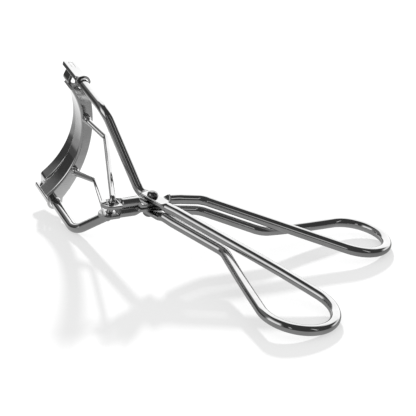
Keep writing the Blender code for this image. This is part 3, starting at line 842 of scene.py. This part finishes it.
def outer_lip_profile(_):
    tip_r = LIP_T / 2
    floor = PLATE_Z + PLATE_T - LIP_BITE
    return (fillet(LIP_OUTER_R - tip_r, LIP_TOP - tip_r, tip_r, 0, 180, 8)
            + [(LIP_OUTER_R - LIP_T, floor), (LIP_OUTER_R, floor)])


def ear_outline():
    """Ear about the upper rod, turning anticlockwise."""
    centre = PLATE_OUTER_CREST + PLATE_OUTER_R
    ear = fillet(0.0, ROD_Y, PLATE_EAR_R, *PLATE_EAR_TURNS, EAR_STEPS)
    inner_r = PLATE_INNER_R + PLATE_BEND_R + PLATE_EAR_LAP
    outer = arc_points(PLATE_OUTER_R, PLATE_OUTER_HALF, centre, OUTLINE_STEPS)
    inner = arc_points(inner_r, PLATE_INNER_HALF, JAW_CENTRE, OUTLINE_STEPS)
    edge = arc_points(PLATE_INNER_R, PLATE_INNER_HALF, JAW_CENTRE, OUTLINE_STEPS)[-1]
    outer = [p for p in outer if p[1] > PLATE_EAR_FROM]
    inner = [p for p in inner if p[1] > PLATE_EAR_FROM]
    return list(reversed(outer + ear + [edge] + list(reversed(inner))))


def lower_jaw_piece(material):
    reach = math.asin(PLATE_INNER_HALF / PLATE_INNER_R)
    obj = sweep_arc("lower_jaw_channel", plate_profile, reach, RODS, material)
    lip_reach = math.asin(LIP_OUTER_HALF / LIP_OUTER_R)
    lip = sweep_arc("outer_lip", outer_lip_profile, lip_reach, RODS, steps=LIP_STATIONS)
    combine(obj, lip, "UNION")
    low = PLATE_Z + PLATE_EAR_SKIN
    high = PLATE_Z + PLATE_T - PLATE_EAR_SKIN
    below, above = PLATE_CUT
    upright = Matrix.Rotation(math.pi / 2, 4, "X")
    for side in (1, -1):
        outline = [(x, side * y) for x, y in ear_outline()]
        if side < 0:
            outline.reverse()
        combine(obj, rounded_prism("ear", outline, low, high, PLATE_EAR_EDGE, RODS), "UNION")
        for x, y, diameter in ((0.0, side * ROD_Y, ROD_HOLE_D),
                               (LINK_FOOT[1], side * LINK_FOOT[2], LINK_PIN_HOLE_D)):
            profile = [(0.0, below), (diameter / 2, below), (diameter / 2, above), (0.0, above)]
            place = RODS @ Matrix.Translation((x, y, PLATE_Z)) @ upright
            combine(obj, turned("cutter", profile, PLATE_HOLE_SIDES, place), "DIFFERENCE")
    even_shading(obj)
    return obj


def pad_profile(turn):
    """Base between the lips, and a rounded bead that overhangs them."""
    base_in = PLATE_INNER_R + LIP_T + PAD_GAP
    base_out = LIP_OUTER_R - LIP_T - PAD_GAP
    middle = (base_in + base_out) / 2
    floor = PLATE_Z + PLATE_T + PAD_GAP
    seat = LIP_TOP + PAD_GAP
    small = PAD_EDGE_R
    end = math.asin(PAD_HALF / PLATE_INNER_R)
    left = min(1.0, max(0.0, (end - abs(turn)) * PLATE_INNER_R / PAD_END))
    scale = PAD_END_SCALE + (1 - PAD_END_SCALE) * math.sin(left * math.pi / 2)
    profile = fillet(base_in + small, floor + small, small, 180, 270, 4)
    profile += fillet(base_out - small, floor + small, small, 270, 360, 4)
    profile += [(base_out, seat)]
    profile += fillet(middle + PAD_BEAD_W / 2 - small, seat + small, small, -90, 0, 4)
    crown = PAD_TOP - seat - small
    for step in range(1, PAD_CROWN_STEPS):
        a = math.pi * step / PAD_CROWN_STEPS
        profile.append((middle + PAD_BEAD_W / 2 * math.cos(a), seat + small + crown * math.sin(a)))
    profile += fillet(middle - PAD_BEAD_W / 2 + small, seat + small, small, 180, 270, 4)
    profile += [(base_in, seat)]
    centre_z = (floor + PAD_TOP) / 2
    height = 1 - PAD_END_FLAT + scale * PAD_END_FLAT
    return [(middle + (r - middle) * scale, centre_z + (z - centre_z) * height)
            for r, z in profile]


def pad_piece(material):
    """Rubber strip with squared, softly rounded ends."""
    return sweep_arc("rubber_lash_pad", pad_profile, math.asin(PAD_HALF / PLATE_INNER_R), RODS,
                     material, PAD_STATIONS, square=True)


def blade_keys(marks):
    """Tenon at each end, then a shoulder and the full height of the strip."""
    ends = (marks[0], marks[-1])
    inner = ROD_FLAT_T + TENON_STEP
    tenon = (TENON_Z0 + TENON_Z1) / 2 - (BLADE_Z0 + BLADE_Z1) / 2
    thin = BLADE_T * TENON_THIN
    tenon_h = TENON_Z1 - TENON_Z0
    blade_h = BLADE_Z1 - BLADE_Z0
    keys = []
    for end, inward in zip(ends, (1, -1)):
        half = [flat_key(end, tenon, thin, tenon_h, TENON_EDGE),
                flat_key(end + inward * inner, tenon, thin, tenon_h, TENON_EDGE),
                flat_key(end + inward * (inner + BLADE_STEP), 0.0, BLADE_T,
                         blade_h - BLADE_SHOULDER, BLADE_EDGE),
                flat_key(end + inward * (inner + BLADE_SHOULDER), 0.0, BLADE_T, blade_h,
                         BLADE_EDGE)]
        keys += half if inward > 0 else list(reversed(half))
    return keys


def upper_jaw_piece(material):
    """Strip bent to an arc, with a tab at each end that passes through the rod."""
    outer = FLAT_Y + ROD_FLAT_T / 2 - TENON_SUNK
    arc = arc_points(BLADE_R, BLADE_HALF, BLADE_CENTRE, BLADE_STEPS)
    middle = (BLADE_Z0 + BLADE_Z1) / 2
    inner = FLAT_Y - BLADE_KNEE - ROD_FLAT_T / 2
    line = [((0.0, -outer), 0.0), ((0.0, -inner), BLADE_TAB_BEND_R), (arc[0], BLADE_CORNER_R)]
    line += [(p, 0.0) for p in arc[1:-1]]
    line += [(arc[-1], BLADE_CORNER_R), ((0.0, inner), BLADE_TAB_BEND_R), ((0.0, outer), 0.0)]
    corners = [(Vector((x, y, middle)), r) for (x, y), r in line]
    return wire("upper_jaw_blade", corners, blade_keys, Z_AXIS, WIRE_SIDES, RODS, material)


def turned(name, profile, sides, matrix, material=None):
    """Spin a profile (radius, height) about the local Y axis."""
    bm = bmesh.new()
    rings = []
    marks = []
    for radius, height in profile:
        if radius == 0.0:
            rings.append([bm.verts.new((0, height, 0))])
            marks.append((0.0, 0.0, height))
            continue
        ring = []
        for i in range(sides):
            turn = 2 * math.pi * (i + 0.5) / sides
            ring.append(bm.verts.new((radius * math.cos(turn), height, radius * math.sin(turn))))
            marks.append((radius, 0.0, height))
        rings.append(ring)
    for ring, after in zip(rings, rings[1:]):
        for k in range(sides):
            corners = [ring[k % len(ring)], ring[k - 1 if len(ring) > 1 else 0],
                       after[k - 1 if len(after) > 1 else 0], after[k % len(after)]]
            bm.faces.new(list(dict.fromkeys(corners)))
    return finish_mesh(bm, name, matrix, material, marks)


def rivet_piece(material):
    """Through rivet with a round head at each end."""
    seat = FRAME_EAR_Y + EAR_T / 2 + RIVET_SEAT_GAP
    radius = RIVET_HEAD_D / 2
    head = []
    for step in range(RIVET_DOME_STEPS + 1):
        turn = math.radians(RIVET_DOME_TURN * step / RIVET_DOME_STEPS)
        head.append((radius * math.cos(turn),
                     seat + RIVET_RIM_H + (RIVET_HEAD_H - RIVET_RIM_H) * math.sin(turn)))
    bevel_w, bevel_h = RIVET_RIM_BEVEL
    foot = [(RIVET_SHANK_D / 2, seat), (radius - bevel_w, seat), (radius, seat + bevel_h)]
    half = foot + head + [(0.0, seat + RIVET_HEAD_H)]
    profile = [(r, -h) for r, h in reversed(half)] + half
    return turned("domed_rivet", profile, RIVET_SIDES, TOOL, material)


# ---- studio -------------------------------------------------------------------------------------

CAMERA_AIM = Vector((0.012373, -0.015349, 0.0200))
CAMERA_DISTANCE = 0.51836
CAMERA_TURN = 36.0417           # degrees to the left of +Y
CAMERA_DOWN = 22.8286
CAMERA_ROLL = 0.9868
LENS = 159.0
SENSOR = 36.0
CLIP = (0.01, 20.0)


def add_camera():
    """Camera that looks down at the tool; returns its forward direction along the floor."""
    turn = math.radians(CAMERA_TURN)
    down = math.radians(CAMERA_DOWN)
    roll = math.radians(CAMERA_ROLL)
    level = Vector((-math.sin(turn), math.cos(turn), 0))
    forward = level * math.cos(down) - Z_AXIS * math.sin(down)
    right = level.cross(Z_AXIS)
    right = right * math.cos(roll) + right.cross(forward) * math.sin(roll)
    matrix = Matrix((right, right.cross(forward), -forward)).transposed().to_4x4()
    matrix.translation = CAMERA_AIM - forward * CAMERA_DISTANCE
    data = bpy.data.cameras.new("camera")
    data.lens = LENS
    data.sensor_width = SENSOR
    data.clip_start, data.clip_end = CLIP
    camera = bpy.data.objects.new("camera", data)
    bpy.context.scene.collection.objects.link(camera)
    camera.matrix_world = matrix
    bpy.context.scene.camera = camera
    return level


# Patches of the studio that the metal mirrors: left, right, low, high, soft edge, brightness, in
# degrees from the camera's forward direction and from the horizon. Later ones cover earlier ones.
STUDIO = (
    (-112.0, -42.0, 22.0, 58.0, 8.0, 0.20),      # upper part of the left wall
    (-146.0, -97.0, 0.0, 50.0, 7.0, 0.50),       # pale panel, left behind the camera
    (-142.0, -103.0, 9.0, 38.0, 6.0, 1.30),      # its bright middle
    (-40.0, 53.0, -20.0, 46.0, 7.0, 1.65),       # white backdrop
    (-32.0, 28.0, 40.0, 70.0, 6.0, 1.65),        # its upper part
    (50.0, 78.0, -20.0, 16.0, 7.0, 1.2),         # its right wing
    (-172.0, -165.0, 12.0, 34.0, 2.0, 0.6),      # strip light, left behind the camera
    (118.0, 124.0, 18.0, 46.0, 2.0, 0.9),        # strip light, right behind the camera
)
DARK_ROOM = 0.06                # between the patches
AMBIENT = 0.86                  # even light on matt surfaces
BACKGROUND = 1.1                # behind the floor, as the camera sees it
FLOOR_SIZE = 6.0
FLOOR_MATT = 0.30
FLOOR_GLOW = 0.58               # keeps the white floor even, as a light table does
FLOOR_WASH = 0.24               # painted light: more glow in the near left corner, which washes out the long shadows there
WASH_AHEAD = (-0.076, -0.058)   # places on the floor are metres ahead and to the right
WASH_ACROSS = (-0.012, 0.004)

# The floor's tone in the metal: dark close to the camera, white behind the tool.
NEAR_AHEAD = (-0.16, -0.07)
NEAR_TONES = (0.10, 0.38)
RIGHT_ACROSS = (0.015, 0.11)
RIGHT_SHARE = 0.3
LIT_AHEAD = (0.0, 0.045)
LIT_ACROSS = (-0.13, -0.02)
LIT_TONE = 1.5
LEFT_ACROSS = (-0.15, -0.23)
LEFT_TONE = 0.10

SOFTBOX_AT = (1.5, -0.08, 0.62)         # metres behind the tool, to its right, and up
SOFTBOX_SIZE = 0.10
SOFTBOX_POWER = 54.0
AIM = Vector((0, 0, 0.01))


def patch_mask(nodes, azimuth, elevation, left, right, low, high, edge):
    """1 inside a patch of the studio and 0 outside, with a soft edge."""
    mask = nodes.remap(azimuth, left - edge, left + edge)
    mask = nodes.math("MULTIPLY", mask, nodes.remap(azimuth, right - edge, right + edge, 1.0, 0.0))
    mask = nodes.math("MULTIPLY", mask, nodes.remap(elevation, low - edge, low + edge))
    return nodes.math("MULTIPLY", mask, nodes.remap(elevation, high - edge, high + edge, 1.0, 0.0))


def add_world(forward):
    """Even light for matt surfaces; for mirrors, a studio of bright and dark fields."""
    right = Vector((forward.y, -forward.x, 0))
    world = bpy.data.worlds.new("studio")
    bpy.context.scene.world = world
    world.use_nodes = True
    nodes = Nodes(world.node_tree)
    ray = nodes.add("ShaderNodeTexCoord").outputs["Generated"]
    azimuth = nodes.math("ARCTAN2", nodes.dot(ray, right), nodes.dot(ray, forward))
    azimuth = nodes.math("DEGREES", azimuth)
    elevation = nodes.math("DEGREES", nodes.math("ARCSINE", nodes.dot(ray, Z_AXIS)))
    brightness = DARK_ROOM
    for *limits, value in STUDIO:
        mask = patch_mask(nodes, azimuth, elevation, *limits)
        brightness = nodes.mix(mask, brightness, value)
    path = nodes.add("ShaderNodeLightPath")
    brightness = nodes.mix(path.outputs["Is Glossy Ray"], AMBIENT, brightness)
    brightness = nodes.mix(path.outputs["Is Camera Ray"], brightness, BACKGROUND)
    background = world.node_tree.nodes["Background"]
    nodes.link(nodes.grey(brightness), background.inputs["Color"])


def add_floor(forward):
    """Pale seamless floor; in the metal it looks brighter behind the tool than in front of it."""
    bm = bmesh.new()
    bmesh.ops.create_grid(bm, x_segments=1, y_segments=1, size=FLOOR_SIZE)
    floor = finish_mesh(bm, "studio_floor", Matrix.Identity(4))
    material, nodes, shader = new_material("pale_floor")
    shader.inputs["Base Color"].default_value = (FLOOR_MATT, FLOOR_MATT, FLOOR_MATT, 1.0)
    shader.inputs["Emission Color"].default_value = (1.0, 1.0, 1.0, 1.0)
    shader.inputs["Roughness"].default_value = 0.9
    shader.inputs["Specular IOR Level"].default_value = 0.0
    place = nodes.add("ShaderNodeNewGeometry").outputs["Position"]
    ahead = nodes.dot(place, forward)
    across = nodes.dot(place, Vector((forward.y, -forward.x, 0)))
    # painted light: the floor's near left corner glows more, washing out long shadows
    wash = nodes.math("MULTIPLY", nodes.remap(ahead, *WASH_AHEAD, FLOOR_WASH, 0.0),
                      nodes.remap(across, *WASH_ACROSS, 1.0, 0.0))
    nodes.link(nodes.math("ADD", wash, FLOOR_GLOW), shader.inputs["Emission Strength"])
    tone = nodes.remap(ahead, *NEAR_AHEAD, *NEAR_TONES)
    tone = nodes.math("MULTIPLY", tone, nodes.remap(across, *RIGHT_ACROSS, 1.0, RIGHT_SHARE))
    lit = nodes.math("MULTIPLY", nodes.remap(ahead, *LIT_AHEAD), nodes.remap(across, *LIT_ACROSS))
    tone = nodes.mix(lit, tone, LIT_TONE)
    tone = nodes.mix(nodes.remap(across, *LEFT_ACROSS), tone, LEFT_TONE)
    glow = nodes.add("ShaderNodeEmission")
    nodes.link(nodes.grey(tone), glow.inputs["Color"])
    mixer = nodes.add("ShaderNodeMixShader")
    path = nodes.add("ShaderNodeLightPath")
    nodes.link(path.outputs["Is Glossy Ray"], mixer.inputs[0])
    nodes.link(shader.outputs[0], mixer.inputs[1])
    nodes.link(glow.outputs[0], mixer.inputs[2])
    output = material.node_tree.nodes["Material Output"]
    nodes.link(mixer.outputs[0], output.inputs["Surface"])
    floor.data.materials.append(material)


def add_softbox(name, place, size, power):
    """Round light aimed at the tool; the metal doesn't mirror it."""
    data = bpy.data.lights.new(name, "AREA")
    data.shape = "DISK"
    data.size = size
    data.energy = power
    light = bpy.data.objects.new(name, data)
    bpy.context.scene.collection.objects.link(light)
    light.location = place
    light.rotation_euler = (AIM - place).to_track_quat("-Z", "Y").to_euler()
    light.visible_glossy = False


# ---- assembly -----------------------------------------------------------------------------------

def settle(piece, node, body):
    """The piece takes the CAD node's place, and moves with its body."""
    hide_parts(node)
    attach(piece, body)


wires = wire_nickel()
sheet = sheet_nickel()
settle(frame_piece(wires), "frame_wire", "frame")
settle(lever_piece(wires), "lever_wire", "lever")
settle(link_piece(wires), "link_wire", "link")
settle(rivet_piece(rivet_steel()), "pivot_rivet", "frame")
settle(upper_jaw_piece(sheet), "upper_jaw", "frame")
settle(lower_jaw_piece(sheet), "lower_jaw", "lower_jaw")
settle(pad_piece(rubber()), "lash_pad", "lower_jaw")

towards = add_camera()
add_world(towards)
add_floor(towards)
sideways = Vector((towards.y, -towards.x, 0))
behind, right, up = SOFTBOX_AT
place = towards * behind + sideways * right + Z_AXIS * up
add_softbox("back_softbox", place, SOFTBOX_SIZE, SOFTBOX_POWER)

bpy.context.scene.view_settings.view_transform = "Standard"
